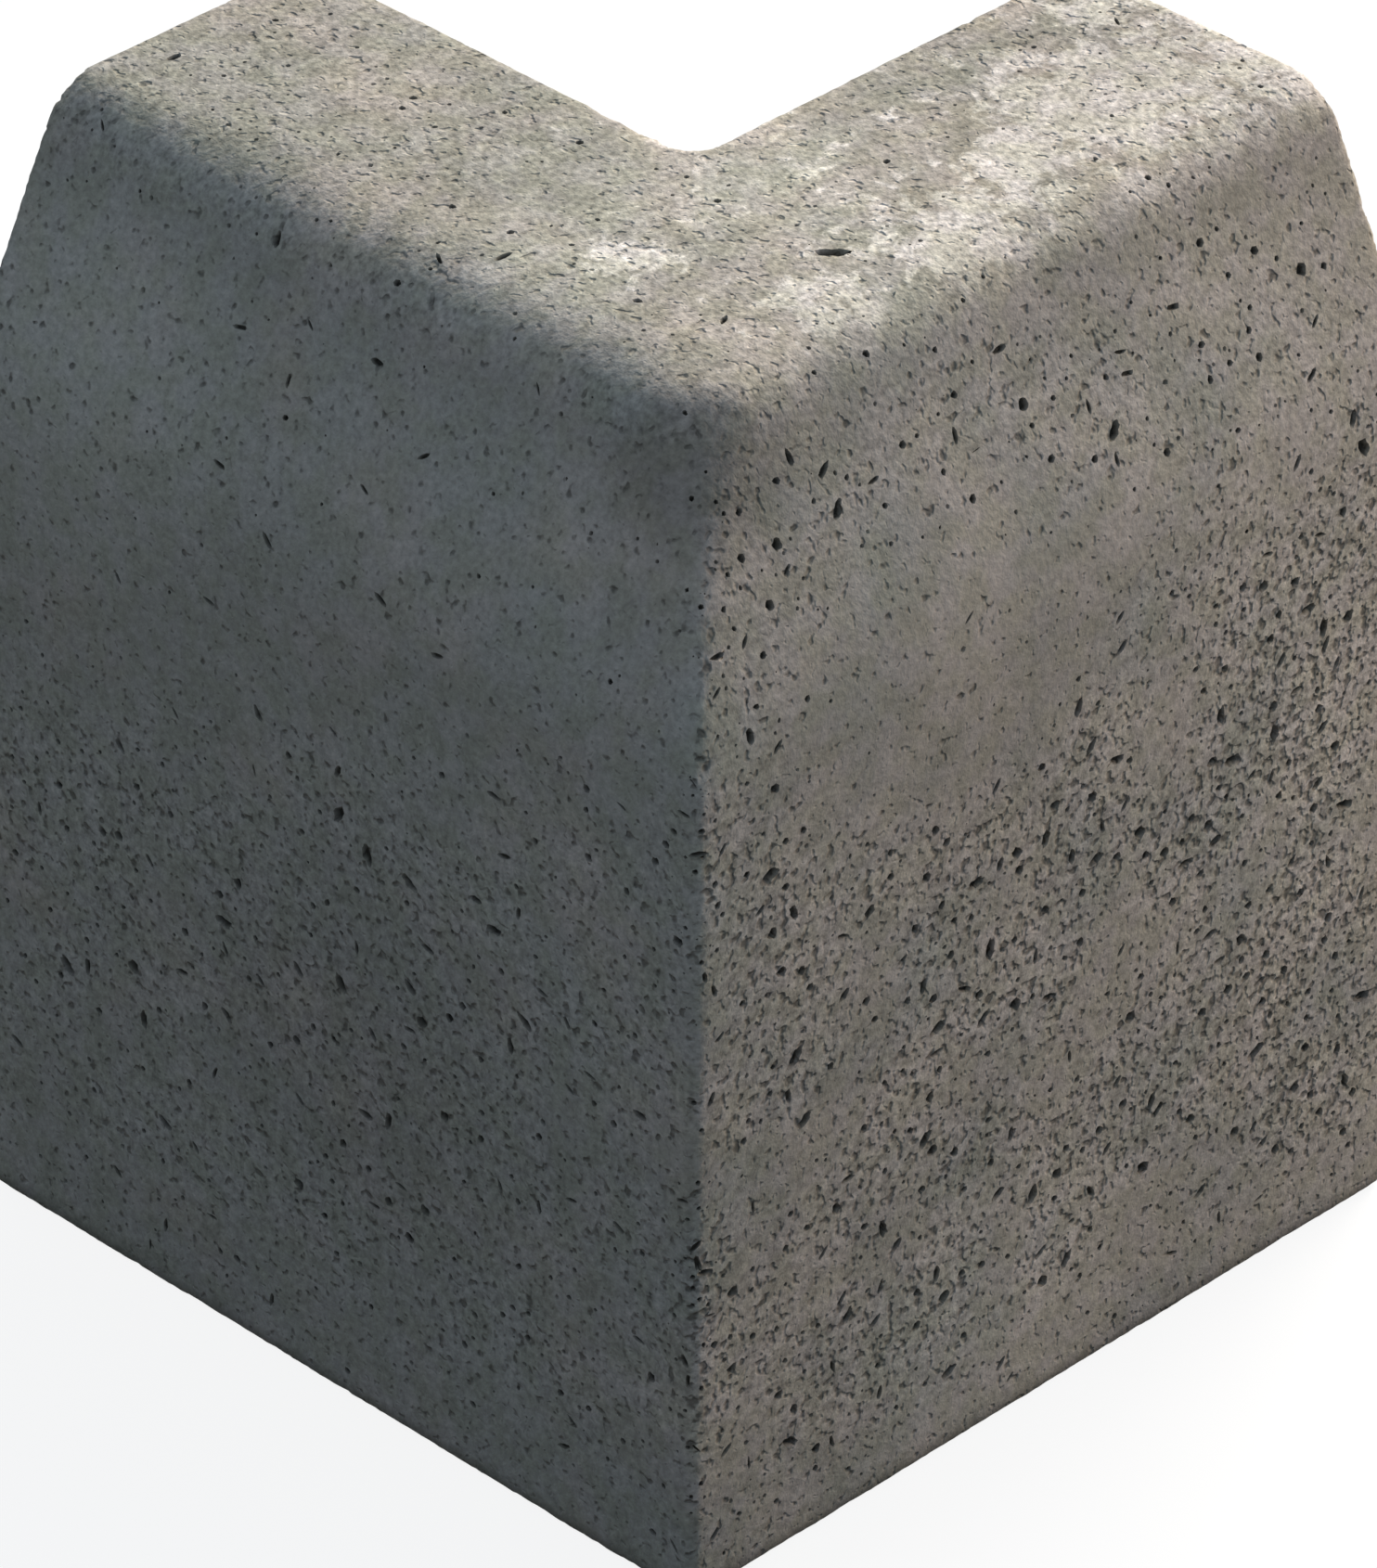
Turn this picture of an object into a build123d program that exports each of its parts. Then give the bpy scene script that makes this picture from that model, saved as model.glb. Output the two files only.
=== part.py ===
"""Concrete kerb stone: a 90 degree external angle, cast in one piece.

Two equal legs meet at a right angle. The outer corner of the foot is towards -X and -Y.
One leg runs along +X, the other along +Y, and +Z is up.
The front faces stand upright below, lean back above a soft crease, and end in a bullnose.
The origin is on the bed face, in the middle of the square that the two legs span.
"""

from math import atan2, cos, sin, tan
import os

from build123d import *

# Overall sizes, in mm
height = 255  # bed face to top face
leg_length = 207  # outer corner of the foot to the end of each leg
base_width = 96  # thickness of a leg at the foot

# Front face
batter_offset = 27.5  # how far the front has leaned back at the level of the top
batter_height = 56  # how far below the top the two faces would meet in a sharp crease
crease_radius = 60  # soft turn from the upright face to the leaning one
bullnose_radius = 15  # rounding of the top front edge

# Corners and edges
arris_radius = 3.5  # outer corner in plan, below the crease
corner_radius = 23  # outer corner in plan, at the level of the top
corner_opening = 3.5  # how late the corner opens between the two: at 1 it opens evenly
inner_corner_radius = 7  # inside of the angle
edge_radius = 1.5  # edges of the ends and the bed, and the back edge of the top

# Worked out from the sizes above
centre = leg_length / 2  # from the middle of the plan to a foot's front face or an end
batter_angle = atan2(batter_offset, batter_height)
crease_bottom = height - batter_height - crease_radius * tan(batter_angle / 2)
crease_steps = 4  # levels that shape the soft crease
batter_steps = 4  # levels that shape the opening corner above it
trim = 20  # how far the block stands out past the ends before it is cut to the plan
near = 0.01  # two places closer than this are the same place


def crease_level(angle):
    """The height at which the front has turned back by this angle."""
    return crease_bottom + crease_radius * sin(angle)


def crease_offset(angle):
    """How far back the front stands where it has turned by this angle."""
    return crease_radius * (1 - cos(angle))


def batter_offset_at(level):
    """How far back the leaning face stands at this level."""
    return batter_offset - (height - level) * tan(batter_angle)


def corner_radius_at(level):
    """The plan radius of the outer corner, which opens from the crease to the top."""
    share = max(0, (level - crease_bottom) / (height - crease_bottom))
    return arris_radius + share**corner_opening * (corner_radius - arris_radius)


def block_outline(level, offset):
    """A level section of the block: two front faces and the rounded corner between them."""
    front = offset - centre
    back = centre + trim
    with BuildSketch(Plane.XY.offset(level)) as outline:
        with BuildLine():
            Polyline((front, front), (back, front), (back, back), (front, back), close=True)
        make_face()
        outer_corner = outline.vertices().sort_by(lambda vertex: vertex.X + vertex.Y)[0]
        fillet(outer_corner, corner_radius_at(level))
    return outline.sketch


def leg_plan():
    """The right-angled plan: square ends and the inner corner, with the front left oversize."""
    front = -centre - trim
    back = base_width - centre
    with BuildSketch() as plan:
        with BuildLine():
            Polyline(
                (front, front),
                (centre, front),
                (centre, back),
                (back, back),
                (back, centre),
                (front, centre),
                close=True,
            )
        make_face()
        inner_corner = plan.vertices().sort_by_distance((back, back))[0]
        fillet(inner_corner, inner_corner_radius)
    return plan.sketch


def is_front_top(edge):
    """True for the three edges that go round the front of the top face."""
    middle = edge.center()
    return middle.Z > height - near and min(middle.X, middle.Y) < base_width / 2 - centre


def is_sharp(edge):
    """True for an edge of an end or the bed, and for the back edge of the top."""
    box = edge.bounding_box()
    on_end = max(box.min.X, box.min.Y) > centre - near
    on_bed = box.max.Z < near
    on_back_of_top = box.min.Z > height - near and min(box.min.X, box.min.Y) > base_width - centre - near
    return on_end or on_bed or on_back_of_top


with BuildPart() as kerb_angle:
    # Upright lower part
    add(block_outline(0, 0))
    extrude(amount=crease_bottom)

    # Soft crease
    turns = [batter_angle * step / crease_steps for step in range(crease_steps + 1)]
    loft([block_outline(crease_level(turn), crease_offset(turn)) for turn in turns])

    # Leaning upper part
    crease_top = crease_level(batter_angle)
    levels = [crease_top + (height - crease_top) * step / batter_steps for step in range(batter_steps + 1)]
    loft([block_outline(level, batter_offset_at(level)) for level in levels])

    # Bullnose along both legs and round the corner between them
    fillet(kerb_angle.edges().filter_by(is_front_top), bullnose_radius)

    # Square ends, and the open angle behind the legs
    add(leg_plan())
    extrude(amount=height, mode=Mode.INTERSECT)

    # Small rounding where two plain faces meet
    fillet(kerb_angle.edges().filter_by(is_sharp), edge_radius)

kerb_angle.part.label = "kerb_angle"
os.makedirs("parts", exist_ok=True)
export_step(kerb_angle.part, "parts/kerb_angle.step")
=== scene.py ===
"""Concrete kerb stone for an outside corner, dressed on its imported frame.

One cast piece: its faces are slightly wavy, its edges are rubbed and chipped, and air bubbles
and lost grit have left pits in it. The floor and the lights are plain.
"""

from collections import namedtuple
import math
import random

import bmesh
import bpy
from mathutils import Matrix, Vector, geometry, kdtree, noise
from mathutils.bvhtree import BVHTree


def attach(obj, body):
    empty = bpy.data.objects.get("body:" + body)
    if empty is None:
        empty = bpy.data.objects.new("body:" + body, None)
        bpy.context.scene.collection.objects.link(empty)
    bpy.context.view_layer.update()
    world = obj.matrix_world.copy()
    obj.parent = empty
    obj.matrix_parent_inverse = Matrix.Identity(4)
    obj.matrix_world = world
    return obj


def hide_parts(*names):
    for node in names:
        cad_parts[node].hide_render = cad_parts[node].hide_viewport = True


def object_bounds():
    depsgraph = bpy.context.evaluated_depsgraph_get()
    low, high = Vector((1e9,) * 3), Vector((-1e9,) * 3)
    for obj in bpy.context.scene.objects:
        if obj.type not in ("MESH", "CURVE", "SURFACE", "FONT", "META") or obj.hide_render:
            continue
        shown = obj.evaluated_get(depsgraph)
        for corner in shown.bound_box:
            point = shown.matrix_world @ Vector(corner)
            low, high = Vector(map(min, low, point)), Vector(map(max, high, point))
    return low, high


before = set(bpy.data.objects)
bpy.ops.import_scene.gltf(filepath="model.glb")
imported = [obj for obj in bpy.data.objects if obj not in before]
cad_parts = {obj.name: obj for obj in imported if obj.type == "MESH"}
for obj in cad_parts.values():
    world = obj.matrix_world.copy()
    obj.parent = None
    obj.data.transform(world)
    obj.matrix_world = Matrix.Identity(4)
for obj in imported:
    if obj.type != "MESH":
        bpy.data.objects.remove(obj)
cad_low, cad_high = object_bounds()

MM = 0.001  # one millimetre, in metres
SEED = 11
MERGE = 0.001 * MM  # points nearer than this are one point

# Mesh of the cast faces
CELL = 2.68 * MM  # spacing of the mesh
JITTER = 0.28  # how far a point of the mesh wanders, as a share of its spacing
EDGE_TURN = 0.045  # the normal's turn round a point, past which the point is on an edge
WORN_TURN = 0.12  # the turn at which it is as worn as any edge
WORN_ROUNDS = 2  # how many points further the wear reaches
WORN_SPREAD = 0.6  # wear of a point over that of its neighbour
UNTANGLE_ROUNDS = 6
FACING = 0.3  # a face whose normal agrees less than this with the surface has turned over

# Shifts that keep the noises of the lumps, the chips and the pits apart from that of the waves
LUMP_SHIFT = Vector((9, 4, 1))
CHIP_SHIFT = Vector((3, 7, 5))
CLUSTER_SHIFT = Vector((2, 8, 3))

# Unevenness of the cast faces, all of it inwards
WAVE_LENGTH = 38 * MM
WAVE_DEPTH = 0.25 * MM
LUMP_LENGTH = 7 * MM
LUMP_DEPTH = 0.18 * MM
GRIT_DEPTH = 0.12 * MM

# Wear of the edges
FRONT_EDGE = -76 * MM  # X or Y where the leaning front would meet the top in a sharp edge
FRONT_CORNER = 23 * MM  # plan radius of that edge at the outer corner
FRONT_WEAR = (-6 * MM, 16 * MM)  # how far in from that edge the bullnose's wear starts and ends
FRONT_ENDS = (60 * MM, 95 * MM)  # along a leg, the wear fades out between these
FRONT_DEPTH = 0.9 * MM
RUB_DEPTH = 0.15 * MM
CHIP_LENGTH = 7 * MM
CHIP_DEPTH = 2.0 * MM
CHIP_START = 0.30  # the noise's level past which an edge is chipped

# Pits, of which the larger ones take up points of the mesh and the small ones single faces
LARGE_RADII = (0.6 * MM, 1.5 * MM)  # of the mouth
LARGE_SKEW = 1.8  # how much commoner the smaller ones are: 1 is even
LARGE_SHARE = 0.17  # of the mesh's points, where pits lie thickest
SMALL_RADII = (0.4 * MM, 0.8 * MM)
SMALL_SHARE = 0.08  # of the mesh's faces, where pits lie thickest
KNOWN_RADIUS = 1.7 * MM  # of the largest, whose places are below
TOP_RADIUS = 0.9 * MM  # the largest on the top
SPARSE_PITTED = (0, 0.85)  # pits grow to their full size where they lie thicker, between these
SPARSE_RADIUS = 0.5  # the share of it that they have where they lie thinnest
PIT_CLUSTER = 22 * MM  # size of the patches where they gather
CLUSTER_NOISE = (-0.55, 0.05)  # between these levels of the noise pits go from few to many
CLUSTER_LEAST = 0.35  # the fewest over the most
TWIN_SHARE = 0.30  # pits that ran together with a neighbour
TWIN_REACH = 0.45  # how much longer half of such a mouth is, over the run of its points
PIT_STRETCH = 1.3  # the longest mouth over the roundest
PIT_UNEVEN = 0.22  # how far a mouth's rim strays, as a share of its radius
PIT_DEPTHS = (0.9, 1.4)  # over the radius
PIT_FLOOR = 0.55  # the floor's width over the mouth's
FLOOR_STRAY = (0.8, 1.2)  # how far a point of the floor strays from that
PIT_ROOM = 0.95  # how much of the room up to the next points a mouth may take
ROUND_RADIUS = 1.0 * MM  # radius past which the mouth has twice as many points
START_INSET = 0.02 * MM  # a new ring starts this far in, before it is shaped
RIM_TONE = 0.4  # dirt and painted shade at the mouth over that on the floor
SMALL_TONES = (0.35, 0.85)  # dirt and painted shade on the floor of a small pit, where a large one's is 1

# Where the largest pits are, in mm: on the right front, the left front and the top
KNOWN_PITS = (
    (-69, -90, 227),
    (-74, -94, 218),
    (1, -89, 228),
    (80, -90, 227),
    (87, -91, 225),
    (73, -103, 38),
    (28, -103, 41),
    (-93, -103, 71),
    (-40, -103, 43),
    (-30, -103, 38),
    (-103, 69, 89),
    (-103, 57, 76),
    (-103, -75, 166),
    (-103, -99, 157),
    (-55, -40, 255),
    (-18, -24, 255),
    (-20, 12, 255),
    (16, -36, 255),
)
GOUGE_START = Vector((-13, -56, 255)) * MM  # a short groove in the top
GOUGE_DIRECTION = Vector((-0.7, 0.7, 0))
GOUGE_STEPS = 2
GOUGE_RADIUS = 1.4 * MM

# How thickly pits lie: 1 is thickest
BULLNOSE_LEVEL = 243 * MM  # above this everything is as on the top
HIDDEN_DEPTH = 1.0 * MM  # how far in from the outermost place the bed and the ends still count
BACK_LIMIT = -9 * MM  # a place with both X and Y past this is on the back
TOP_PITS = 0.3
TOP_LARGE = 0.5  # share of the larger ones that the top has
BACK_PITS = 0.45  # on the back, the ends and the bed
LEFT_PITS = 0.64
LEFT_HIGH_PITS = 0.10  # high on the left front, where the mould left the face smooth
LEFT_LEVELS = (172 * MM, 135 * MM)  # between these the left front goes from smooth to pitted
LEFT_SLOPE = 0.25  # how much those levels fall towards the left end
LEFT_FOOT = (15 * MM, 40 * MM)  # and between these it gets smoother again, down to the foot
RIGHT_HIGH_PITS = 0.48
RIGHT_LEVELS = (205 * MM, 160 * MM)  # the same on the right front
RIGHT_FOOT = (12 * MM, 32 * MM)
FOOT_PITS = 0.35  # share of its pits that a front keeps at its foot
RIGHT_END = (20 * MM, 70 * MM)  # towards the right end, between these, pits reach higher up
END_LEVELS = (198 * MM, 172 * MM)  # and there they start between these levels
END_HIGH_PITS = 0.9
END_PITS = 1.3  # how much thicker they lie there than on the rest of the right front
SMOOTH_PLACE = (-30 * MM, 187 * MM)  # X and Z of a smooth patch on the right front
SMOOTH_HALF = (52 * MM, 34 * MM)  # its half width and height
SMOOTH_EDGE = (0.7, 1.2)  # it fades out between these shares of them
SMOOTH_PITS = 0.10  # share of the pits that are left in its middle

# Where pale laitance lies on the top, each with its reach, all in mm
PALE_PATCHES = (
    ((62, -47, 255), 24),
    ((82, -47, 255), 15),
    ((38, -54, 255), 16),
    ((8, -64, 255), 22),
    ((-30, -66, 253), 15),
    ((-46, -26, 255), 15),
)

# Patches of stains and washed places, and of painted light and shade, each with its reach, all in
# mm, and with how much brighter its middle is than plain concrete
STAIN_AND_PAINTED_LIGHT_PATCHES = (
    # these two: painted shade, with some soot, under the bullnose at the outer corner
    ((-78, -78, 246), 25, -0.27),
    ((-82, -82, 228), 30, -0.12),
    ((-13, -77, 253), 28, 0.10),
    ((76, -41, 255), 45, -0.15),
    ((100, -85, 232), 40, -0.10),
    ((-7, -20, 255), 32, 0.26),
    ((-57, -17, 255), 28, 0.17),
    # painted light on the leaning left front, which faces more of the sky
    ((-90, 75, 205), 50, 0.21),
    ((-103, -12, 92), 58, -0.13),
    ((-20, -103, 24), 45, 0.19),
    ((80, -103, 108), 36, 0.10),
    ((-22, -103, 155), 34, -0.08),
)

# Soil and a painted contact shadow along the foot, but not on the bed
FOOT_DARK_REACH = 4.5 * MM
FOOT_DARK_MOST = 0.85
BED_FACING = -0.8  # where the normal's Z is lower, a point is on the bed

# A pit's middle, the way into the stone, the way along its mouth, the radius of the mouth, the run
# of the points that it took up, and how dark its floor is painted, with dirt and painted shade
Pit = namedtuple("Pit", "centre inward along radius run tone")


def linear(hex_colour):
    """A colour written as sRGB hex, as linear red, green, blue and alpha."""
    channels = [int(hex_colour[i : i + 2], 16) / 255 for i in (1, 3, 5)]
    curved = [c / 12.92 if c <= 0.04045 else ((c + 0.055) / 1.055) ** 2.4 for c in channels]
    return (*curved, 1.0)


def add(tree, kind, settings=None, links=None):
    """Adds a node. Its settings go by an input's name or a property's, and links by an input's."""
    node = tree.nodes.new(kind)
    for name, value in (settings or {}).items():
        if isinstance(name, int) or name in node.inputs:
            node.inputs[name].default_value = value
        else:
            setattr(node, name, value)
    for name, socket in (links or {}).items():
        tree.links.new(socket, node.inputs[name])
    return node


# The kerb's mesh


def ramp(value, start, end, low=0.0, high=1.0):
    """From low at start to high at end, and level beyond them."""
    share = min(1.0, max(0.0, (value - start) / (end - start)))
    return low + (high - low) * share


def merged_copy(node):
    """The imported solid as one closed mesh, with its loose triangles joined."""
    mesh = bmesh.new()
    mesh.from_mesh(node.data)
    bmesh.ops.remove_doubles(mesh, verts=mesh.verts, dist=MERGE)
    return mesh


def even_mesh(solid):
    """The solid's surface covered evenly with small triangles."""
    data = bpy.data.meshes.new("kerb_even")
    solid.to_mesh(data)
    carrier = bpy.data.objects.new("kerb_even", data)
    bpy.context.scene.collection.objects.link(carrier)
    remesh = carrier.modifiers.new("even", "REMESH")
    remesh.mode = "VOXEL"
    remesh.voxel_size = CELL
    graph = bpy.context.evaluated_depsgraph_get()
    even = bpy.data.meshes.new_from_object(carrier.evaluated_get(graph))
    mesh = bmesh.new()
    mesh.from_mesh(even)
    bpy.data.objects.remove(carrier)
    bpy.data.meshes.remove(data)
    bpy.data.meshes.remove(even)
    bmesh.ops.triangulate(mesh, faces=mesh.faces, quad_method="FIXED", ngon_method="BEAUTY")
    return mesh


def lay_on(mesh, surface):
    """Brings each point back on to the solid's surface."""
    for vert in mesh.verts:
        vert.co = surface.find_nearest(vert.co)[0]
    mesh.normal_update()


def untangle(mesh, surface):
    """Spreads out the points round any face that has turned over on the surface."""
    for _ in range(UNTANGLE_ROUNDS):
        turned = set()
        for face in mesh.faces:
            normal = surface.find_nearest(face.calc_center_median())[1]
            if face.normal.dot(normal) < FACING:
                turned.update(face.verts)
        moves = {}
        for vert in turned:
            around = [edge.other_vert(vert).co for edge in vert.link_edges]
            moves[vert] = sum(around, Vector()) / len(around)
        for vert, place in moves.items():
            vert.co = surface.find_nearest(place)[0]
        mesh.normal_update()


def wander(mesh, surface, rng):
    """Moves the points of the faces about on the surface, so that the mesh has no rows."""
    inner = [vert for vert in mesh.verts if turn_at(vert) < EDGE_TURN]
    for vert in inner:
        step = Vector([rng.uniform(-1, 1) for _ in range(3)]) * CELL * JITTER
        vert.co += step - vert.normal * step.dot(vert.normal)
    lay_on(mesh, surface)
    untangle(mesh, surface)


def turn_at(vert):
    """How much the surface turns at a point: near 0 on a face, more on an edge."""
    return max((1 - vert.normal.dot(face.normal) for face in vert.link_faces), default=0)


def refine_edges(mesh, surface):
    """Makes the mesh finer along the edges, and marks how worn each point there is."""
    on_edge = {vert for vert in mesh.verts if turn_at(vert) > EDGE_TURN}
    faces = {face for vert in on_edge for face in vert.link_faces}
    edges = {edge for face in faces for edge in face.edges}
    bmesh.ops.subdivide_edges(mesh, edges=sorted(edges, key=lambda e: e.index), cuts=1)
    lay_on(mesh, surface)
    bmesh.ops.triangulate(mesh, faces=[face for face in mesh.faces if len(face.verts) > 3])
    mesh.normal_update()
    untangle(mesh, surface)
    worn = mesh.verts.layers.float.new("worn")
    for vert in mesh.verts:
        turn = turn_at(vert)
        vert[worn] = min(1.0, turn / WORN_TURN) if turn > EDGE_TURN else 0
    for _ in range(WORN_ROUNDS):
        spread = {}
        for vert in mesh.verts:
            around = [WORN_SPREAD * edge.other_vert(vert)[worn] for edge in vert.link_edges]
            spread[vert] = max(vert[worn], *around)
        for vert, value in spread.items():
            vert[worn] = value
    return worn


def front_wear(place):
    """From 0 to 1, how much the bullnose is worn here: most in the middle of its round."""
    out = [max(0.0, FRONT_EDGE + FRONT_CORNER - axis) for axis in (place.x, place.y)]
    if any(out):
        inset = FRONT_CORNER - math.hypot(*out)
    else:
        inset = min(place.x, place.y) - FRONT_EDGE
    share = ramp(inset, *FRONT_WEAR)
    fade = ramp(max(place.x, place.y), *FRONT_ENDS, low=1.0, high=0.0)
    return fade * (0.5 - 0.5 * math.cos(math.tau * share))


def weather(mesh, surface, worn, rng):
    """Waves, lumps and grit on the faces, a worn bullnose, and rubbed and chipped edges."""
    moves = []
    for vert in mesh.verts:
        place = vert.co
        wave = 0.5 + 0.5 * noise.noise(place / WAVE_LENGTH)
        lump = 0.5 + 0.5 * noise.noise(place / LUMP_LENGTH + LUMP_SHIFT)
        chip = max(0.0, noise.noise(place / CHIP_LENGTH + CHIP_SHIFT) - CHIP_START)
        depth = WAVE_DEPTH * wave + LUMP_DEPTH * lump + GRIT_DEPTH * rng.random()
        depth += FRONT_DEPTH * front_wear(place)
        depth += vert[worn] * (RUB_DEPTH + CHIP_DEPTH * chip / (1 - CHIP_START))
        moves.append(surface.find_nearest(place)[1] * -depth)
    for vert, move in zip(mesh.verts, moves):
        vert.co += move
    mesh.normal_update()


def pittedness(place):
    """From 0 to 1, how thickly pits lie here."""
    gathered = noise.noise(place / PIT_CLUSTER + CLUSTER_SHIFT)
    if place.z > BULLNOSE_LEVEL:
        zone = TOP_PITS
    elif min(place.x, place.y) > BACK_LIMIT or place.z < cad_low[2] + HIDDEN_DEPTH:
        zone = BACK_PITS
    elif max(place.x, place.y) > cad_high[0] - HIDDEN_DEPTH:
        zone = BACK_PITS
    elif place.x < place.y:
        level = place.z + LEFT_SLOPE * place.y
        zone = ramp(level, *LEFT_LEVELS, low=LEFT_HIGH_PITS, high=LEFT_PITS)
        zone *= ramp(place.z, *LEFT_FOOT, low=FOOT_PITS)
    else:
        zone = ramp(place.z, *RIGHT_LEVELS, low=RIGHT_HIGH_PITS)
        towards_end = ramp(place.x, *RIGHT_END) * ramp(place.z, *END_LEVELS)
        zone = max(zone, END_HIGH_PITS * towards_end) * (1 + (END_PITS - 1) * towards_end)
        across = (place.x - SMOOTH_PLACE[0]) / SMOOTH_HALF[0]
        up = (place.z - SMOOTH_PLACE[1]) / SMOOTH_HALF[1]
        zone *= ramp(math.hypot(across, up), *SMOOTH_EDGE, low=SMOOTH_PITS)
        zone *= ramp(place.z, *RIGHT_FOOT, low=FOOT_PITS)
    return zone * ramp(gathered, *CLUSTER_NOISE, low=CLUSTER_LEAST)


def paleness(place):
    """From 0 to 1, how much laitance lies here."""
    reach = [1 - (place - Vector(middle) * MM).length / (size * MM) for middle, size in PALE_PATCHES]
    return max(0.0, *reach)


def stain_and_painted_light_at(place):
    """How bright the concrete is painted here by stains, washed places and painted light and shade;
    1 is plain.
    """
    change = 0
    for middle, size, most in STAIN_AND_PAINTED_LIGHT_PATCHES:
        away = (place - Vector(middle) * MM).length / (size * MM)
        change += most * max(0.0, 1 - away**2)
    return 1 + change


def skewed(rng, radii, skew):
    """A radius between two, of which the smaller ones are commoner."""
    smallest, largest = radii
    return smallest + (largest - smallest) * rng.random() ** skew


def walk(vert, direction, steps):
    """The point and the next ones of the mesh in one direction."""
    group = [vert]
    for _ in range(steps):
        here = group[-1]
        nexts = [edge.other_vert(here) for edge in here.link_edges]
        group.append(max(nexts, key=lambda other: (other.co - here.co).normalized().dot(direction)))
    return group


def choose_large_pits(mesh, worn, rng):
    """The points to dig at, as groups with a radius each, and the faces that they take up."""
    tree = kdtree.KDTree(len(mesh.verts))
    for vert in mesh.verts:
        tree.insert(vert.co, vert.index)
    tree.balance()
    mesh.verts.ensure_lookup_table()
    gouge_start = mesh.verts[tree.find(GOUGE_START)[1]]
    wanted = [(walk(gouge_start, GOUGE_DIRECTION, GOUGE_STEPS), GOUGE_RADIUS)]
    for place in KNOWN_PITS:
        radius = TOP_RADIUS if place[2] * MM > BULLNOSE_LEVEL else KNOWN_RADIUS
        wanted.append(([mesh.verts[tree.find(Vector(place) * MM)[1]]], radius))
    for vert in mesh.verts:
        pitted = pittedness(vert.co)
        if rng.random() > LARGE_SHARE * pitted:
            continue
        radius = skewed(rng, LARGE_RADII, LARGE_SKEW)
        radius *= ramp(pitted, *SPARSE_PITTED, low=SPARSE_RADIUS)
        if vert.co.z > BULLNOSE_LEVEL:
            if rng.random() > TOP_LARGE:
                continue
            radius = min(radius, TOP_RADIUS)
        group = [vert]
        if rng.random() < TWIN_SHARE:
            group.append(rng.choice([edge.other_vert(vert) for edge in vert.link_edges]))
        wanted.append((group, radius))

    # Each face belongs to one pit at most, and the edges have none
    taken = set()
    chosen = []
    for group, radius in wanted:
        faces = {face for vert in group for face in vert.link_faces}
        if faces & taken or any(vert[worn] > 0 for face in faces for vert in face.verts):
            continue
        taken |= faces
        chosen.append((group, radius))
    return chosen, taken


def room_in(face, centre):
    """How far it is from the centre to the nearest side of the face."""
    gaps = []
    for edge in face.edges:
        ends = [vert.co for vert in edge.verts]
        gaps.append((geometry.intersect_point_line(centre, *ends)[0] - centre).length)
    return min(gaps)


def even_turns(face, centre, along, across):
    """An angle for each point of the face, evenly spaced round it, near where the point is."""
    count = len(face.verts)
    steps = [-math.tau * index / count for index in range(count)]
    drift = Vector((0, 0))
    for vert, step in zip(face.verts, steps):
        out = vert.co - centre
        gap = math.atan2(out.dot(across), out.dot(along)) - step
        drift += Vector((math.cos(gap), math.sin(gap)))
    start = math.atan2(drift.y, drift.x)
    return [start + step for step in steps]


def plan_pits(mesh, worn, rng):
    """Marks each pit's faces with its number, and plans its place, direction and size."""
    number = mesh.faces.layers.int.new("pit_number")
    large, taken = choose_large_pits(mesh, worn, rng)
    plans = {}
    for index, (group, radius) in enumerate(large, start=1):
        centre = sum((vert.co for vert in group), Vector()) / len(group)
        inward = -sum((vert.normal for vert in group), Vector()).normalized()
        along = group[-1].co - group[0].co if len(group) > 1 else inward.orthogonal()
        along = (along - inward * along.dot(inward)).normalized()
        plans[index] = Pit(centre, inward, along, radius, (len(group) - 1) * CELL, 1.0)
        for face in {face for vert in group for face in vert.link_faces}:
            face[number] = index
    for face in mesh.faces:
        centre = face.calc_center_median()
        if rng.random() > SMALL_SHARE * pittedness(centre):
            continue
        if face in taken or any(vert[worn] > 0 for vert in face.verts):
            continue
        index = len(plans) + 1
        along = face.normal.orthogonal().normalized()
        radius = rng.uniform(*SMALL_RADII)
        tone = rng.uniform(*SMALL_TONES)
        plans[index] = Pit(centre, -face.normal, along, radius, 0, tone)
        face[number] = index
    bmesh.ops.dissolve_verts(mesh, verts=[vert for group, _ in large for vert in group])
    return number, plans


def shape_mouth(mouth, pit, room, rng):
    """Lays the points of a pit's mouth on an uneven ring, and gives the pit's depth."""
    along = pit.along
    if not pit.run:
        along = Matrix.Rotation(rng.uniform(0, math.tau), 3, pit.inward) @ along
    across = pit.inward.cross(along)
    stretch = rng.uniform(1.0, PIT_STRETCH)
    most = PIT_ROOM * room / (1 + PIT_UNEVEN)
    narrow = min(pit.radius, most)
    wide = narrow + TWIN_REACH * pit.run if pit.run else min(narrow * stretch, most)
    depth = narrow * rng.uniform(*PIT_DEPTHS)
    turns = even_turns(mouth, pit.centre, along, across)
    for vert, turn in zip(mouth.verts, turns):
        out = along * math.cos(turn) * wide + across * math.sin(turn) * narrow
        vert.co = pit.centre + out * (1 + PIT_UNEVEN * rng.uniform(-1, 1))
    return depth


def sink_floor(floor, pit, depth, rng):
    """Draws the points of a pit's floor together and pushes them in."""
    for vert in floor.verts:
        share = PIT_FLOOR * rng.uniform(*FLOOR_STRAY)
        vert.co = pit.centre + (vert.co - pit.centre) * share + pit.inward * depth


def mark_hollow(floor, tone, hollow):
    """Marks the floor and the walls of a pit with dirt and painted shade, darkest on the floor."""
    low_verts = set(floor.verts)
    walls = {face for edge in floor.edges for face in edge.link_faces}
    for loop in [loop for face in walls for loop in face.loops]:
        loop[hollow] = tone if loop.vert in low_verts else tone * RIM_TONE


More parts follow.
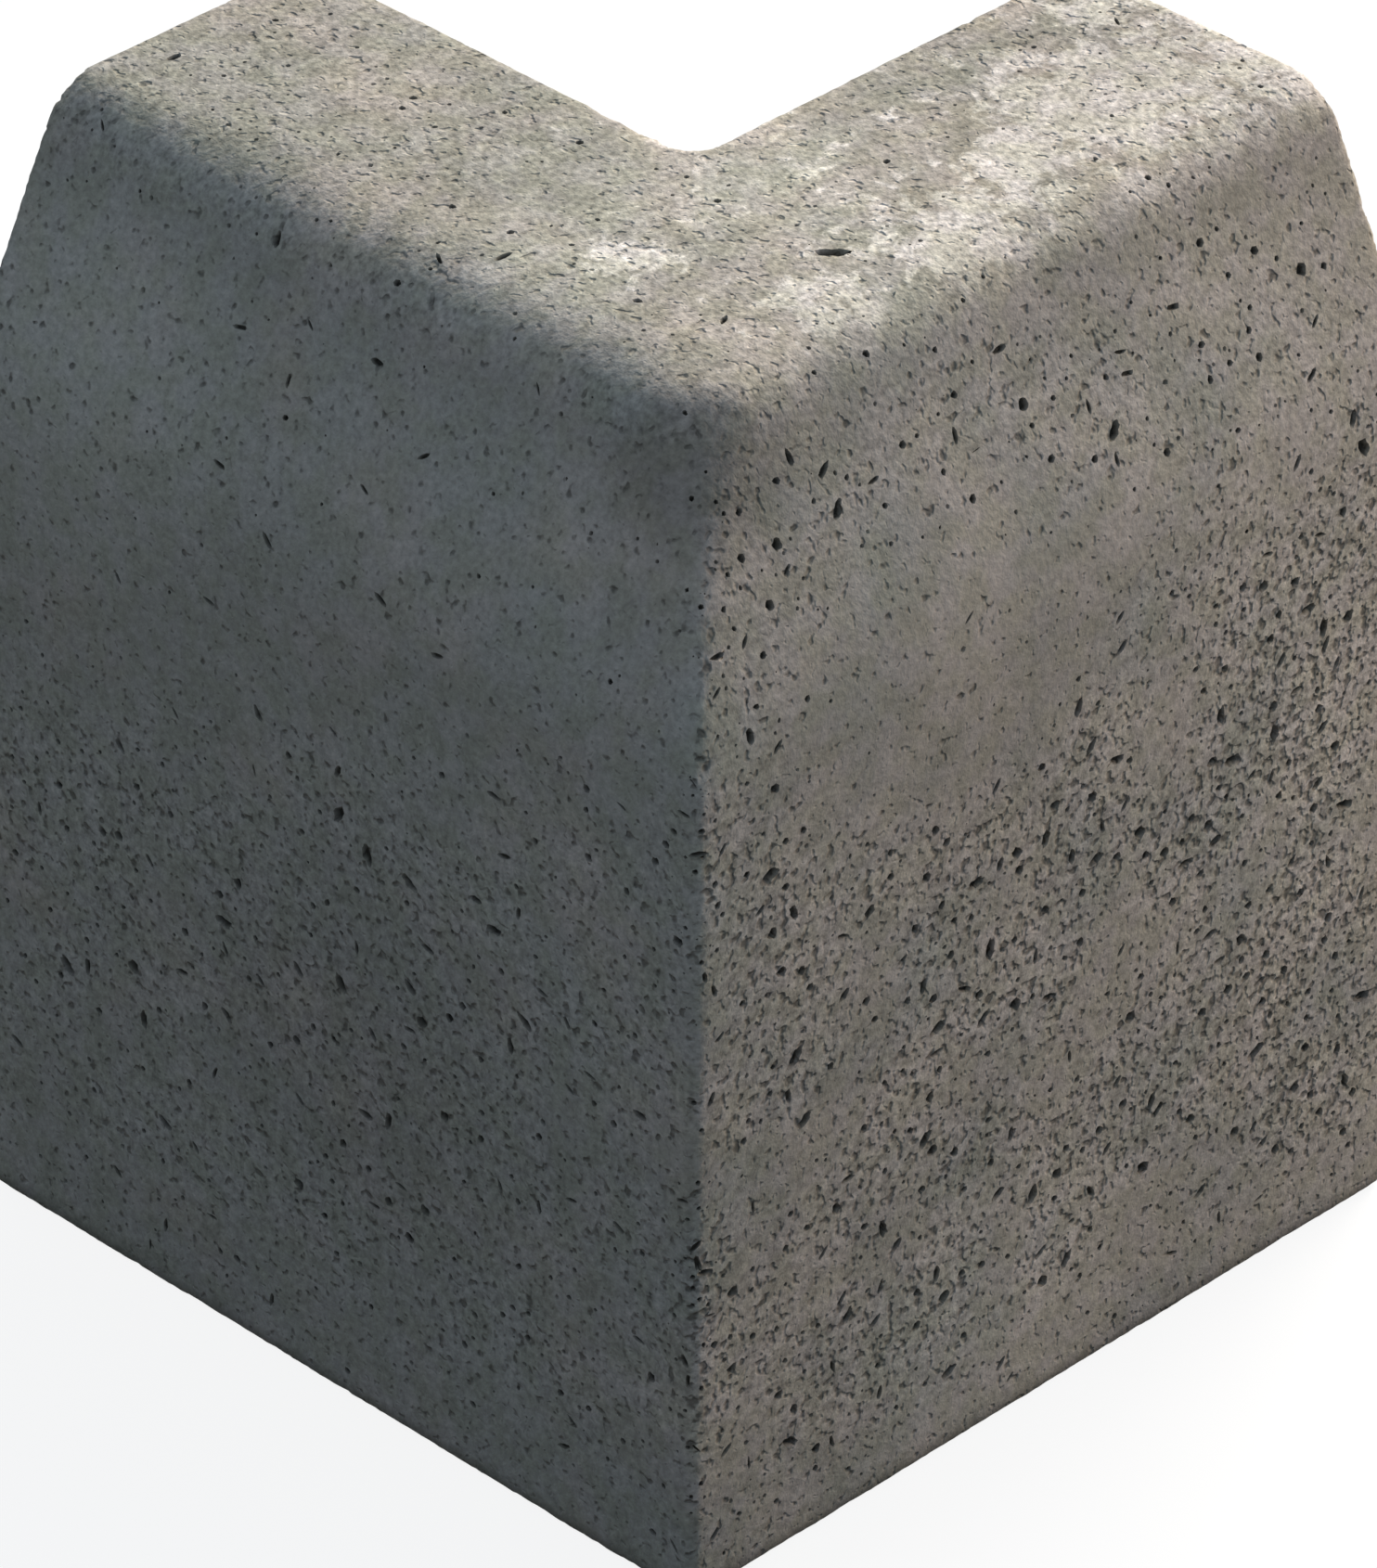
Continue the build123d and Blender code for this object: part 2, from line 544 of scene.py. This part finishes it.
def dig_pits(mesh, worn, rng):
    """Opens each pit as a face of its own, and gives it a mouth, a wall and a floor."""
    number, plans = plan_pits(mesh, worn, rng)
    hollow = mesh.loops.layers.float.new("hollow")
    mouths = [face for face in mesh.faces if face[number]]
    pits = [plans[mouth[number]] for mouth in mouths]
    rooms = [room_in(mouth, pit.centre) for mouth, pit in zip(mouths, pits)]

    # The mouth: a new ring of points, with more of them where the first ones are too few
    bmesh.ops.inset_individual(mesh, faces=mouths, thickness=START_INSET)
    rims = set()
    for mouth, pit in zip(mouths, pits):
        if len(mouth.verts) == 3 or pit.radius > ROUND_RADIUS:
            rims.update(mouth.edges)
    bmesh.ops.subdivide_edges(mesh, edges=sorted(rims, key=lambda e: e.index), cuts=1)
    depths = []
    for mouth, pit, room in zip(mouths, pits, rooms):
        depths.append(shape_mouth(mouth, pit, room, rng))
        for edge in mouth.edges:
            edge.smooth = False

    # The floor: a smaller ring, pushed in, for which the same faces now stand
    bmesh.ops.inset_individual(mesh, faces=mouths, thickness=START_INSET)
    for floor, pit, depth in zip(mouths, pits, depths):
        sink_floor(floor, pit, depth, rng)
        mark_hollow(floor, pit.tone, hollow)
    mesh.faces.layers.int.remove(number)
    bmesh.ops.triangulate(mesh, faces=[face for face in mesh.faces if len(face.verts) > 4])
    return len(plans)


def mark_finish(mesh):
    """Marks for the material how pitted and pale each point is, its soil and painted contact shadow,
    and its stains and painted light and shade.
    """
    pitted = mesh.verts.layers.float.new("pitted")
    pale = mesh.verts.layers.float.new("pale")
    soil_and_painted_shadow = mesh.verts.layers.float.new("soil_and_painted_shadow")
    stain_and_painted_light = mesh.verts.layers.float.new("stain_and_painted_light")
    mesh.normal_update()
    for vert in mesh.verts:
        vert[pitted] = pittedness(vert.co)
        vert[pale] = paleness(vert.co)
        vert[stain_and_painted_light] = stain_and_painted_light_at(vert.co)
        if vert.normal.z > BED_FACING:
            # soil and painted contact shadow, darkest at the foot
            vert[soil_and_painted_shadow] = ramp(vert.co.z, 0, FOOT_DARK_REACH, low=FOOT_DARK_MOST, high=0.0)


def keep_in_box(mesh):
    """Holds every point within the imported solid's box."""
    for vert in mesh.verts:
        vert.co = [min(max(c, low), high) for c, low, high in zip(vert.co, cad_low, cad_high)]


def make_kerb(node):
    """The weathered kerb, as an object."""
    rng = random.Random(SEED)
    solid = merged_copy(node)
    surface = BVHTree.FromBMesh(solid)
    mesh = even_mesh(solid)
    lay_on(mesh, surface)
    wander(mesh, surface, rng)
    worn = refine_edges(mesh, surface)
    weather(mesh, surface, worn, rng)
    count = dig_pits(mesh, worn, rng)
    keep_in_box(mesh)
    mark_finish(mesh)
    for face in mesh.faces:
        face.smooth = True
    data = bpy.data.meshes.new("kerb")
    mesh.to_mesh(data)
    triangles = sum(len(face.vertices) - 2 for face in data.polygons)
    print("kerb: pits", count, "triangles", triangles)
    mesh.free()
    solid.free()
    dressed = bpy.data.objects.new("cast_kerb", data)
    bpy.context.scene.collection.objects.link(dressed)
    return dressed


# Materials

# Sizes of the patterns
CEMENT_PATCH = 30 * MM
MOTTLE_PATCH = 8 * MM
SKIN_PATCH = 9 * MM
PORE_SIZE = 2.1 * MM
GRAIN_SIZE = 1.6 * MM  # coarser than most sand, so that it shows in the render

# Where the finish changes
LEG_LEAN = 150 * MM  # X less Y, near the end of the leg along X
TOP_LEVELS = (244 * MM, 254 * MM)  # the fronts' finish turns into the top's
BAND_TOP = (254.8 * MM, 250.5 * MM)  # the band of painted shade under the bullnose comes
BAND_END = (229 * MM, 243 * MM)  # and goes
LOW_DARK_LEVELS = (170 * MM, 80 * MM)  # the kerb gets darker downwards, between these
SKIN_LEVELS = (249 * MM, 254.6 * MM)  # pale laitance comes

# How strongly one thing sways another
SIDE_STAIN = 0.6  # the side of the kerb on the cement's stain
SIDE_SKIN = 0.7  # and on how much laitance there is
PALE_SKIN = 0.25  # the pale patches on how much laitance there is
SKIN_MEAN = 0.5  # laitance noise of this level leaves the brightness as it is
GRAIN_MEAN = 0.42  # and so does grain noise of this level
PITTED_GRAIN = 1.6  # pits lying thick on how much the grains show
PITTED_PORES = -0.11  # and on the pores, which open where the noise is low
BAND_PAINTED_SHADE = -0.11  # the band of painted shade on the brightness
GRAIN_HEIGHT = 0.6  # how high grains stand, over how deep pores are
RELIEF_DEPTH = 0.6 * MM


def cement_colour(tree, place, side):
    """From greenish through grey to a warm stain, in patches."""
    clouds = add(
        tree,
        "ShaderNodeTexNoise",
        {"Scale": 1 / CEMENT_PATCH, "Detail": 2.0},
        {"Vector": place},
    )
    stain = add(
        tree,
        "ShaderNodeMath",
        {"operation": "MULTIPLY_ADD", 1: SIDE_STAIN},
        {0: side, 2: clouds.outputs["Fac"]},
    )
    cement = add(tree, "ShaderNodeValToRGB", None, {"Fac": stain.outputs["Value"]})
    stops = cement.color_ramp.elements
    stops[0].position = 0.36
    stops[0].color = linear("#A3A097")
    stops[1].position = 0.66
    stops[1].color = linear("#B5ACA1")
    stops.new(0.5).color = linear("#A8A299")
    return cement.outputs["Color"]


def grain_light(tree, level, pitted, grains):
    """Pale and dark sand grains, which show most on the top and where pits lie thick."""
    bare = add(
        tree,
        "ShaderNodeMapRange",
        {"From Min": TOP_LEVELS[0], "From Max": TOP_LEVELS[1], "To Min": 0.75, "To Max": 1.7},
        {"Value": level},
    )
    contrast = add(
        tree,
        "ShaderNodeMath",
        {"operation": "MULTIPLY_ADD", 1: PITTED_GRAIN},
        {0: pitted, 2: bare.outputs["Result"]},
    )
    gap = add(tree, "ShaderNodeMath", {"operation": "SUBTRACT", 1: GRAIN_MEAN}, {0: grains})
    light = add(
        tree,
        "ShaderNodeMath",
        {"operation": "MULTIPLY_ADD", 2: 1.0},
        {0: gap.outputs["Value"], 1: contrast.outputs["Value"]},
    )
    return light.outputs["Value"]


def painted_shade_band_and_low_dark(tree, level):
    """Painted shade in a band under the bullnose, and darker towards the foot."""
    band_top = add(
        tree,
        "ShaderNodeMapRange",
        {"From Min": BAND_TOP[0], "From Max": BAND_TOP[1]},
        {"Value": level},
    )
    band_end = add(
        tree,
        "ShaderNodeMapRange",
        {"From Min": BAND_END[0], "From Max": BAND_END[1]},
        {"Value": level},
    )
    band = add(
        tree,
        "ShaderNodeMath",
        {"operation": "MULTIPLY"},
        {0: band_top.outputs["Result"], 1: band_end.outputs["Result"]},
    )
    low_dark = add(
        tree,
        "ShaderNodeMapRange",
        {
            "From Min": LOW_DARK_LEVELS[0],
            "From Max": LOW_DARK_LEVELS[1],
            "To Min": 1.0,
            "To Max": 0.90,
        },
        {"Value": level},
    )
    light = add(
        tree,
        "ShaderNodeMath",
        {"operation": "MULTIPLY_ADD", 1: BAND_PAINTED_SHADE},
        {0: band.outputs["Value"], 2: low_dark.outputs["Result"]},
    )
    return light.outputs["Value"]


def laid_skin(tree, place, level, side, cement):
    """Laitance, a pale skin on the top: the colour with it, and how much brighter it makes it."""
    high = add(
        tree,
        "ShaderNodeMapRange",
        {"From Min": SKIN_LEVELS[0], "From Max": SKIN_LEVELS[1]},
        {"Value": level},
    )
    skin = add(
        tree,
        "ShaderNodeTexNoise",
        {"Scale": 1 / SKIN_PATCH, "Detail": 5.0, "Roughness": 0.7, "Distortion": 0.5},
        {"Vector": place},
    )
    sided = add(
        tree,
        "ShaderNodeMath",
        {"operation": "MULTIPLY_ADD", 1: SIDE_SKIN},
        {0: side, 2: skin.outputs["Fac"]},
    )
    pale = add(tree, "ShaderNodeAttribute", {"attribute_name": "pale"})
    gathered = add(
        tree,
        "ShaderNodeMath",
        {"operation": "MULTIPLY_ADD", 1: PALE_SKIN},
        {0: pale.outputs["Fac"], 2: sided.outputs["Value"]},
    )
    thickness = add(
        tree,
        "ShaderNodeMapRange",
        {"From Min": 0.585, "From Max": 0.66, "To Max": 0.62},
        {"Value": gathered.outputs["Value"]},
    )
    laitance = add(
        tree,
        "ShaderNodeMath",
        {"operation": "MULTIPLY"},
        {0: thickness.outputs["Result"], 1: high.outputs["Result"]},
    )
    colour = add(
        tree,
        "ShaderNodeMix",
        {"data_type": "RGBA", 7: linear("#DCD6CF")},
        {0: laitance.outputs["Value"], 6: cement},
    )
    gap = add(
        tree,
        "ShaderNodeMath",
        {"operation": "SUBTRACT", 1: SKIN_MEAN},
        {0: skin.outputs["Fac"]},
    )
    light = add(
        tree,
        "ShaderNodeMath",
        {"operation": "MULTIPLY"},
        {0: gap.outputs["Value"], 1: high.outputs["Result"]},
    )
    return colour.outputs[2], light.outputs["Value"]


def mottle_tint(tree, mottle):
    """A tint that is barely green in one patch and barely violet in the next."""
    tint = add(tree, "ShaderNodeValToRGB", None, {"Fac": mottle})
    stops = tint.color_ramp.elements
    stops[0].position = 0.40
    stops[0].color = linear("#FFFFF8")
    stops[1].position = 0.60
    stops[1].color = linear("#FFFDFF")
    return tint.outputs["Color"]


def pore_pattern(tree, place, pitted):
    """Pores between the grains, which are open where this is 1."""
    spots = add(
        tree,
        "ShaderNodeTexNoise",
        {"Scale": 1 / PORE_SIZE, "Detail": 1.0, "Roughness": 0.5},
        {"Vector": place},
    )
    opened = add(
        tree,
        "ShaderNodeMath",
        {"operation": "MULTIPLY_ADD", 1: PITTED_PORES},
        {0: pitted, 2: spots.outputs["Fac"]},
    )
    pores = add(
        tree,
        "ShaderNodeMapRange",
        {"interpolation_type": "SMOOTHSTEP", "From Min": 0.38, "From Max": 0.17},
        {"Value": opened.outputs["Value"]},
    )
    return pores.outputs["Result"]


def dirt_and_shade_share(tree, level, pores):
    """How much dark dirt and painted shade covers the cement: in the pores, in the pits and along
    the foot.
    """
    # Pores hold dirt and painted shade, less on the top, where light reaches into them
    pore_dark_share = add(
        tree,
        "ShaderNodeMapRange",
        {"From Min": TOP_LEVELS[0], "From Max": TOP_LEVELS[1], "To Min": 0.65, "To Max": 0.38},
        {"Value": level},
    )
    dirt_and_shade = add(
        tree,
        "ShaderNodeMath",
        {"operation": "MULTIPLY"},
        {0: pores, 1: pore_dark_share.outputs["Result"]},
    ).outputs["Value"]
    for name in ("hollow", "soil_and_painted_shadow"):
        held = add(tree, "ShaderNodeAttribute", {"attribute_name": name})
        dirt_and_shade = add(
            tree,
            "ShaderNodeMath",
            {"operation": "MAXIMUM"},
            {0: dirt_and_shade, 1: held.outputs["Fac"]},
        ).outputs["Value"]
    return dirt_and_shade


def fine_relief(tree, grains, pores):
    """Grains that stand out and pores that go in, finer than the mesh can show."""
    raised = add(
        tree,
        "ShaderNodeMath",
        {"operation": "MULTIPLY", 1: GRAIN_HEIGHT},
        {0: grains},
    )
    height = add(
        tree,
        "ShaderNodeMath",
        {"operation": "SUBTRACT"},
        {0: raised.outputs["Value"], 1: pores},
    )
    bump = add(
        tree,
        "ShaderNodeBump",
        {"Strength": 1.0, "Distance": RELIEF_DEPTH},
        {"Height": height.outputs["Value"]},
    )
    return bump.outputs["Normal"]


def cast_concrete():
    """Cast concrete: matt cement grey, sandy and pored, with pale laitance, faint stains, and
    painted light and shade.
    """
    material = bpy.data.materials.new("cast_concrete")
    material.use_nodes = True
    tree = material.node_tree
    tree.nodes.clear()
    place = add(tree, "ShaderNodeTexCoord").outputs["Object"]
    axes = add(tree, "ShaderNodeSeparateXYZ", None, {"Vector": place})
    level = axes.outputs["Z"]
    pitted = add(tree, "ShaderNodeAttribute", {"attribute_name": "pitted"}).outputs["Fac"]
    stain_and_painted_light = add(tree, "ShaderNodeAttribute", {"attribute_name": "stain_and_painted_light"}).outputs["Fac"]

    # Towards the end of the leg along X the stain and laitance change, and painted light brightens
    # the kerb
    lean = add(
        tree,
        "ShaderNodeMath",
        {"operation": "SUBTRACT"},
        {0: axes.outputs["X"], 1: axes.outputs["Y"]},
    )
    side = add(
        tree,
        "ShaderNodeMapRange",
        {"From Min": -LEG_LEAN, "From Max": LEG_LEAN, "To Min": -0.27, "To Max": 0.20},
        {"Value": lean.outputs["Value"]},
    ).outputs["Result"]
    # Painted light, which falls off towards the end of the leg along Y
    painted_light_falloff = add(
        tree,
        "ShaderNodeMapRange",
        {"From Min": -LEG_LEAN, "From Max": LEG_LEAN, "To Min": 0.97, "To Max": 1.06},
        {"Value": lean.outputs["Value"]},
    )

    # Mottle, sand grains and pores
    mottle = add(
        tree,
        "ShaderNodeTexNoise",
        {"Scale": 1 / MOTTLE_PATCH, "Detail": 2.0},
        {"Vector": place},
    ).outputs["Fac"]
    mottle_light = add(
        tree,
        "ShaderNodeMapRange",
        {"From Min": 0.3, "From Max": 0.7, "To Min": 0.92, "To Max": 1.08},
        {"Value": mottle},
    )
    grains = add(
        tree,
        "ShaderNodeTexNoise",
        {"Scale": 1 / GRAIN_SIZE, "Detail": 2.0, "Roughness": 0.6},
        {"Vector": place},
    ).outputs["Fac"]
    pores = pore_pattern(tree, place, pitted)

    # How bright the cement is, with painted light and shade in it
    tone = grain_light(tree, level, pitted, grains)
    for light in (
        mottle_light.outputs["Result"],
        painted_light_falloff.outputs["Result"],
        stain_and_painted_light,
        painted_shade_band_and_low_dark(tree, level),
    ):
        tone = add(
            tree,
            "ShaderNodeMath",
            {"operation": "MULTIPLY"},
            {0: tone, 1: light},
        ).outputs["Value"]

    # Its colour, and dirt and painted shade over it
    cement = cement_colour(tree, place, side)
    skinned, skin_light = laid_skin(tree, place, level, side, cement)
    tinted = add(
        tree,
        "ShaderNodeVectorMath",
        {"operation": "MULTIPLY"},
        {0: skinned, 1: mottle_tint(tree, mottle)},
    )
    full_tone = add(
        tree,
        "ShaderNodeMath",
        {"operation": "MULTIPLY_ADD"},
        {0: skin_light, 1: tone, 2: tone},
    )
    toned = add(
        tree,
        "ShaderNodeVectorMath",
        {"operation": "SCALE"},
        {0: tinted.outputs["Vector"], "Scale": full_tone.outputs["Value"]},
    )
    # A dark dirt colour, which also stands in as painted shade in the pores and pits and at the foot
    colour = add(
        tree,
        "ShaderNodeMix",
        {"data_type": "RGBA", 7: linear("#3A3731")},
        {0: dirt_and_shade_share(tree, level, pores), 6: toned.outputs["Vector"]},
    )

    # Matt all over, a little less so where the cement is dense
    roughness = add(
        tree,
        "ShaderNodeMapRange",
        {"From Min": 0.3, "From Max": 0.7, "To Min": 0.96, "To Max": 0.84},
        {"Value": mottle},
    )
    shader = add(
        tree,
        "ShaderNodeBsdfPrincipled",
        {"Specular IOR Level": 0.3},
        {
            "Base Color": colour.outputs[2],
            "Roughness": roughness.outputs["Result"],
            "Normal": fine_relief(tree, grains, pores),
        },
    )
    add(tree, "ShaderNodeOutputMaterial", None, {"Surface": shader.outputs["BSDF"]})
    return material


WHITE = "#FFFFFF"
FLOOR_GLOW = 0.87  # most of the white that the eye sees
FLOOR_SEEN = "#737373"  # the rest, which the kerb's shadow takes away
FLOOR_DULL = "#454545"  # for the light that the floor throws back on the kerb


def pale_floor():
    """Plain floor: white to the eye, dull to the light that it throws back on the kerb."""
    material = bpy.data.materials.new("pale_floor")
    material.use_nodes = True
    material.cycles.emission_sampling = "NONE"
    tree = material.node_tree
    tree.nodes.clear()
    glow = add(tree, "ShaderNodeEmission", {"Color": linear(WHITE), "Strength": FLOOR_GLOW})
    seen = add(tree, "ShaderNodeBsdfDiffuse", {"Color": linear(FLOOR_SEEN)})
    white = add(tree, "ShaderNodeAddShader", None, {0: glow.outputs[0], 1: seen.outputs[0]})
    dull = add(tree, "ShaderNodeBsdfDiffuse", {"Color": linear(FLOOR_DULL)})
    path = add(tree, "ShaderNodeLightPath")
    eye = add(
        tree,
        "ShaderNodeMath",
        {"operation": "MAXIMUM"},
        {0: path.outputs["Is Camera Ray"], 1: path.outputs["Is Glossy Ray"]},
    )
    either = add(
        tree,
        "ShaderNodeMixShader",
        None,
        {0: eye.outputs["Value"], 1: dull.outputs[0], 2: white.outputs[0]},
    )
    add(tree, "ShaderNodeOutputMaterial", None, {"Surface": either.outputs[0]})
    return material


# Room, lights and camera

FLOOR_HALF = 6.0  # metres, from the middle to a side
SKY_COLOUR = "#8A98A6"
SKY_LEVEL = 1.02
KEY_FROM = Vector((0.80, 0.27, 0.41))  # from behind and above, on the right
KEY_LEVEL = 0.535  # brightness that it gives a white card lying flat
KEY_SOFTNESS = math.radians(30)
KEY_COLOUR = "#FFF6E8"
FILL_PLACE = Vector((0.95, -0.6, 0.5))  # to the right, in front
FILL_SIZE = 0.3  # metres
FILL_POWER = 5.2  # watts
FILL_COLOUR = "#FFECDA"


def make_floor():
    """A plain level floor, which goes on well past the picture."""
    mesh = bmesh.new()
    bmesh.ops.create_grid(mesh, x_segments=1, y_segments=1, size=FLOOR_HALF)
    data = bpy.data.meshes.new("floor")
    mesh.to_mesh(data)
    mesh.free()
    floor = bpy.data.objects.new("floor", data)
    bpy.context.scene.collection.objects.link(floor)
    data.materials.append(pale_floor())


def make_world():
    """A plain cool sky, which the camera sees as white."""
    world = bpy.data.worlds.new("studio")
    bpy.context.scene.world = world
    world.use_nodes = True
    world.cycles.sampling_method = "NONE"
    tree = world.node_tree
    tree.nodes.clear()
    sky = add(
        tree,
        "ShaderNodeBackground",
        {"Color": linear(SKY_COLOUR), "Strength": SKY_LEVEL},
    )
    white = add(tree, "ShaderNodeBackground", {"Color": linear(WHITE), "Strength": 1.0})
    path = add(tree, "ShaderNodeLightPath")
    either = add(
        tree,
        "ShaderNodeMixShader",
        None,
        {0: path.outputs["Is Camera Ray"], 1: sky.outputs[0], 2: white.outputs[0]},
    )
    add(tree, "ShaderNodeOutputWorld", None, {"Surface": either.outputs[0]})


def make_lights():
    """A soft warm key from behind and a weak warm fill from the front."""
    key = bpy.data.lights.new("key", "SUN")
    key.angle = KEY_SOFTNESS
    key.color = linear(KEY_COLOUR)[:3]
    key.energy = math.pi * KEY_LEVEL / KEY_FROM.normalized().z
    key_object = bpy.data.objects.new("key", key)
    key_object.rotation_euler = KEY_FROM.to_track_quat("Z", "Y").to_euler()
    fill = bpy.data.lights.new("fill", "AREA")
    fill.size = FILL_SIZE
    fill.energy = FILL_POWER
    fill.color = linear(FILL_COLOUR)[:3]
    fill_object = bpy.data.objects.new("fill", fill)
    fill_object.location = FILL_PLACE
    fill_object.rotation_euler = FILL_PLACE.to_track_quat("Z", "Y").to_euler()
    for light in (key_object, fill_object):
        bpy.context.scene.collection.objects.link(light)


AIM = Vector((-40.7, -39.7, 136.9)) * MM
DISTANCE = 2.2395  # metres
AZIMUTH = math.radians(-45.47)
ELEVATION = math.radians(33.18)
ROLL = math.radians(0.356)
SENSOR = 36.0  # mm, along the image's long side
LENS = 258.0


def make_camera():
    """A camera with a long lens that looks down on the outer corner."""
    data = bpy.data.cameras.new("camera")
    data.sensor_width = SENSOR
    data.lens = LENS
    camera = bpy.data.objects.new("camera", data)
    bpy.context.scene.collection.objects.link(camera)
    flat = math.cos(ELEVATION)
    back = Vector((math.sin(AZIMUTH) * flat, -math.cos(AZIMUTH) * flat, math.sin(ELEVATION)))
    turn = (-back).to_track_quat("-Z", "Y").to_matrix().to_4x4() @ Matrix.Rotation(ROLL, 4, "Z")
    camera.matrix_world = Matrix.Translation(AIM + back * DISTANCE) @ turn
    bpy.context.scene.camera = camera


bpy.context.scene.view_settings.view_transform = "Standard"
make_camera()
make_world()
make_floor()
make_lights()

kerb = make_kerb(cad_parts["kerb_angle"])
kerb.data.materials.append(cast_concrete())
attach(kerb, "root")
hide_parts("kerb_angle")
